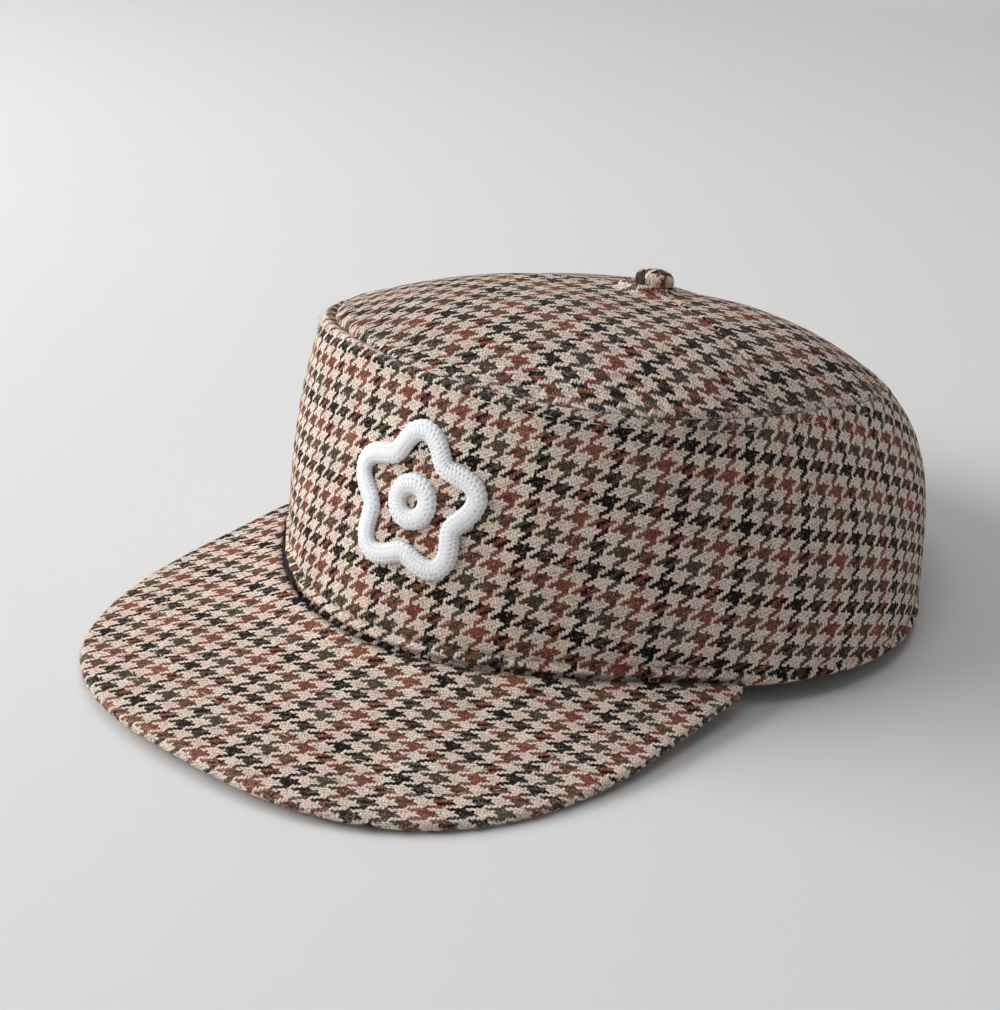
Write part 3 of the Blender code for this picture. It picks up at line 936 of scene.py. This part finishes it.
def build_fuzz(name, start, out, finish, seed):
    """Short loose fibres that stand off an edge of the cloth, the same on each run."""
    random = np.random.default_rng(seed)
    count = len(start)
    ahead = unit(out + random.normal(0.0, 0.6, (count, 3)))
    bend = random.normal(0.0, 0.7, (count, 3))
    length = random.uniform(*FUZZ_LENGTH, count)[:, None, None]
    steps = np.linspace(0.0, 1.0, 5)[:, None]
    path = start[:, None] + length * (steps * ahead[:, None] + 0.5 * steps ** 2 * bend[:, None])
    path[..., 2] = np.maximum(path[..., 2], 0.0001)
    side = unit(np.cross(ahead, bend))
    up = np.cross(ahead, side)
    turn = np.linspace(0.0, 2.0 * math.pi, 3, endpoint=False)[:, None]
    ring = side[:, None] * np.cos(turn) + up[:, None] * np.sin(turn)
    thick = FUZZ_THICK * (1.0 - 0.6 * steps[:, :, None])
    verts = path[:, :, None] + ring[:, None] * thick
    hair, level, k = np.meshgrid(np.arange(count), np.arange(4), np.arange(3), indexing="ij")
    base = (hair * 5 + level) * 3
    near, far = base + k, base + (k + 1) % 3
    faces = np.stack((near, far, far + 3, near + 3), -1).reshape(-1, 4).tolist()
    for number in range(count):
        faces += [(number * 15 + 2, number * 15 + 1, number * 15),
                  (number * 15 + 12, number * 15 + 13, number * 15 + 14)]
    add_threads(name, verts.reshape(-1, 3).tolist(), faces, finish)


def build_edge_fuzz(finish):
    """Loose fibres on the brim's edge, and along the top seam."""
    random = np.random.default_rng(3)
    share = random.uniform(-0.97, 0.97, FUZZ_COUNT)
    turn = random.uniform(-0.3, 1.4, FUZZ_COUNT)[:, None]
    edge = brim_edge(share)
    tangent = brim_edge(share + 0.001) - brim_edge(share - 0.001)
    outward = unit(np.stack((tangent[:, 1], -tangent[:, 0], 0.0 * share), -1))
    half = BRIM_THICKNESS / 2.0
    out = outward * np.cos(turn) + (0.0, 0.0, 1.0) * np.sin(turn)
    start = edge - outward * half + out * half * 0.95
    start[:, 2] += BRIM_ROOT_Z - brim_drop(edge) - half - edge[:, 2]
    build_fuzz("brim_fuzz", start, out, finish, 4)
    angle = random.uniform(-3.1, 3.1, FUZZ_COUNT)
    out = seam_direction(angle)
    build_fuzz("seam_fuzz", seam_point(angle) - out * 0.0008, out, finish, 5)


def build_camera():
    """The photograph's view."""
    data = bpy.data.cameras.new("camera")
    data.sensor_fit = "HORIZONTAL"
    data.sensor_width = 36.0
    data.lens = 65.99
    data.shift_y = -0.005
    data.clip_start = 0.02
    camera = bpy.data.objects.new("camera", data)
    right = Vector((0.75423, 0.65626, 0.02142))
    up = Vector((-0.27945, 0.29131, 0.91490))
    back = Vector((0.59417, -0.69603, 0.40311))
    turn = Matrix((right, up, back)).transposed().to_4x4()
    camera.matrix_world = Matrix.Translation((0.29911, -0.36497, 0.23571)) @ turn
    bpy.context.scene.collection.objects.link(camera)
    bpy.context.scene.camera = camera


def build_light(name, place, aim, size, power):
    """A white soft box that points at a place."""
    data = bpy.data.lights.new(name, "AREA")
    data.shape = "RECTANGLE"
    data.size, data.size_y = size
    data.energy = power
    data.color = WHITE
    light = bpy.data.objects.new(name, data)
    light.location = place
    light.visible_camera = False
    light.rotation_euler = (Vector(aim) - Vector(place)).to_track_quat("-Z", "Y").to_euler()
    bpy.context.scene.collection.objects.link(light)


def build_studio():
    """A round pale sweep under a soft box at the front left and a faint one above."""
    turns = np.linspace(0.0, 2.0 * math.pi, 97)[:-1]
    bend = np.linspace(0.0, math.pi / 2.0, 13)
    profile = [(0.3, 0.0), (0.8, 0.0)]
    profile += [(SWEEP_FLAT + SWEEP_BEND * math.sin(t), SWEEP_BEND * (1.0 - math.cos(t)))
                for t in bend]
    profile += [(SWEEP_FLAT + SWEEP_BEND, SWEEP_HEIGHT)]
    verts = [(0.0, 0.0, 0.0)]
    for radius, height in profile:
        verts += [(radius * math.cos(t), radius * math.sin(t), height) for t in turns.tolist()]
    count = len(turns)
    faces = [(0, 1 + k, 1 + (k + 1) % count) for k in range(count)]
    for ring in range(len(profile) - 1):
        base = 1 + ring * count
        faces += [(base + k, base + count + k, base + count + (k + 1) % count,
                   base + (k + 1) % count) for k in range(count)]
    mesh = bpy.data.meshes.new("sweep")
    mesh.from_pydata(verts, [], faces)
    mesh.shade_smooth()
    recipe = Recipe("sweep_paper")
    tint = recipe.colour_mix(recipe.noise(0.4), *SWEEP_TINTS)
    mesh.materials.append(recipe.finish(Base_Color=tint, Roughness=0.9))
    sweep = bpy.data.objects.new("sweep", mesh)
    bpy.context.scene.collection.objects.link(sweep)
    world = bpy.data.worlds.new("studio")
    world.use_nodes = True
    surround = world.node_tree.nodes["Background"].inputs
    surround["Color"].default_value = (*WHITE, 1.0)
    surround["Strength"].default_value = WORLD_STRENGTH
    bpy.context.scene.world = world
    build_light("window", (-1.31, -0.85, 0.61), (0.0, 0.0, 0.04), (1.7, 1.2), 61.5)
    build_light("ceiling", (-0.25, 0.28, 1.39), (-0.15, 0.18, 0.0), (1.2, 1.2), 7.0)


def main():
    """Build the cap, its camera and its studio."""
    bpy.context.scene.view_settings.view_transform = "Standard"
    build_camera()
    build_studio()
    # One cloth in lit and shaded copies: the second number is painted light on the band and brim
    # and painted shade on the top.
    band_cloth = checked_cloth("band_check", 1.06)
    top_cloth = checked_cloth("top_check", 0.87)
    brim_cloth = checked_cloth("brim_check", 1.04)
    button_cloth = checked_cloth("button_check")
    # Each thread's second colour tints its flecks and is painted shade in its needle holes.
    white = cotton_thread("flower_thread", (0.95, 0.955, 0.98), (0.46, 0.50, 0.60))
    dark = cotton_thread("hem_thread", (0.26, 0.19, 0.145), (0.08, 0.06, 0.05))
    tan = cotton_thread("seam_thread", (0.62, 0.52, 0.44), (0.30, 0.22, 0.17))
    band = build_band(band_cloth)
    front = build_top("crown_top_front_cloth", "crown_top_front",
                      -TOP_SEAM_ANGLE, TOP_SEAM_ANGLE, 401, top_cloth, TOP_WEAVE)
    back = build_top("crown_top_back_cloth", "crown_top_back",
                     TOP_SEAM_ANGLE, 2.0 * math.pi - TOP_SEAM_ANGLE, 541, top_cloth,
                     BACK_WEAVE)
    brim = build_brim(brim_cloth)
    build_button(button_cloth)
    build_strand("flower_strand", "front_flower", FLOWER_RADIUS, FLOWER_WAVE,
                 white)
    build_strand("flower_eye_strand", "front_flower_eye", EYE_RADIUS, 0.0, white)
    hem_stitches(dark)
    seam_stitches(tan)
    panel_stitches(tan)
    brim_stitches(tan)
    build_edge_fuzz(cotton_thread("loose_fibre", (0.80, 0.71, 0.63), (0.45, 0.36, 0.30)))


main()
